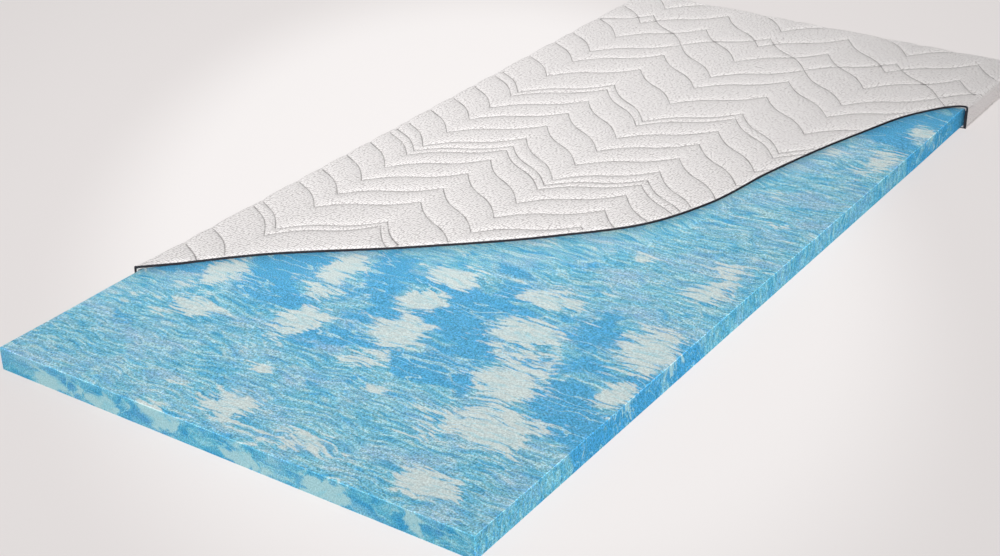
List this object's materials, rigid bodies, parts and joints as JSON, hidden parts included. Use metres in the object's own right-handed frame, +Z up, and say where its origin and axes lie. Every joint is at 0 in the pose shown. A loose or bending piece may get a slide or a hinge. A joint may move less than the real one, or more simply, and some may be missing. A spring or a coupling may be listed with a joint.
{
  "type": "foam mattress topper",
  "caption": "Slab of marbled foam in a zipped, quilted cover with chevron stitching, cut back along a bound S-shaped line to bare the foam.",
  "frame": {"origin": "middle of the topper's footprint, at the height of its underside", "axes": "+Y runs along the topper from the bare foam end to the covered end, +Z is up, +X runs across to the long side that the picture shows"},
  "size_m": [0.9208, 2.01, 0.0486],
  "materials": {
    "gel_foam": "open-cell polyurethane foam, marbled sky blue with pale turquoise and cream",
    "cover_knit": "pale warm grey polyester knit, quilted",
    "wadding": "lofted polyester wadding",
    "backing_web": "thin spunbond web",
    "underside_knit": "plain polyester knit",
    "border_knit": "plain padded polyester knit",
    "edge_binding": "dark woven binding tape",
    "zip_tape": "woven polyester tape",
    "zip_coil": "nylon coil",
    "zip_metal": "lacquered zinc alloy"
  },
  "bodies": {
    "topper": {"foam_core": "gel_foam", "top_face_knit": "cover_knit", "top_wadding": "wadding", "top_backing": "backing_web", "underside_panel": "underside_knit", "border_right": "border_knit", "border_back": "border_knit", "border_left_upper": "border_knit", "border_left_lower": "border_knit", "border_left_end": "border_knit", "cut_edge_binding": "edge_binding", "zip_tape_upper": "zip_tape", "zip_tape_lower": "zip_tape", "zip_coil_upper": "zip_coil", "zip_coil_lower": "zip_coil", "zip_stop_upper": "zip_metal", "zip_stop_lower": "zip_metal"},
    "slider": {"zip_slider": "zip_metal"},
    "puller": {"zip_puller": "zip_metal"}
  },
  "joints": [
    {"name": "zip_slide", "type": "slide", "parent": "topper", "child": "slider", "axis": [0, -1, 0], "range_m": [0, 1.59]},
    {"name": "puller_swing", "type": "hinge", "parent": "slider", "child": "puller", "pos_m": [-0.45834, 0.9258, 0.01985], "axis": [0, 0, -1], "range_deg": [0, 150]}
  ]
}
